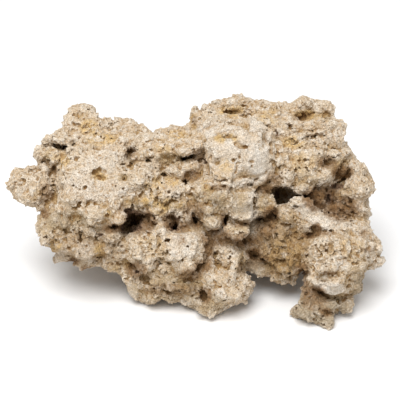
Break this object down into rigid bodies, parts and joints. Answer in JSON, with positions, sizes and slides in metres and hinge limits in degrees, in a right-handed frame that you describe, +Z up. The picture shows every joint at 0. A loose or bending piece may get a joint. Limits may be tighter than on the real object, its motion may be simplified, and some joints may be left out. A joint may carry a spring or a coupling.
{
  "type": "dry reef rock",
  "caption": "Craggy lump of dry, porous reef limestone with caves, ledges, knobs and pits, resting on worn flat feet.",
  "frame": {"origin": "centre of the rock's box, on the surface it rests on", "axes": "+X along the rock's length to the right of its broad front face, +Y to its back, +Z up as it rests"},
  "size_m": [0.3057, 0.1664, 0.1478],
  "materials": {
    "reef_limestone": "matte, rough and porous, cream to tan with brown hollows"
  },
  "bodies": {
    "root": {"reef_rock": "reef_limestone"}
  },
  "joints": []
}
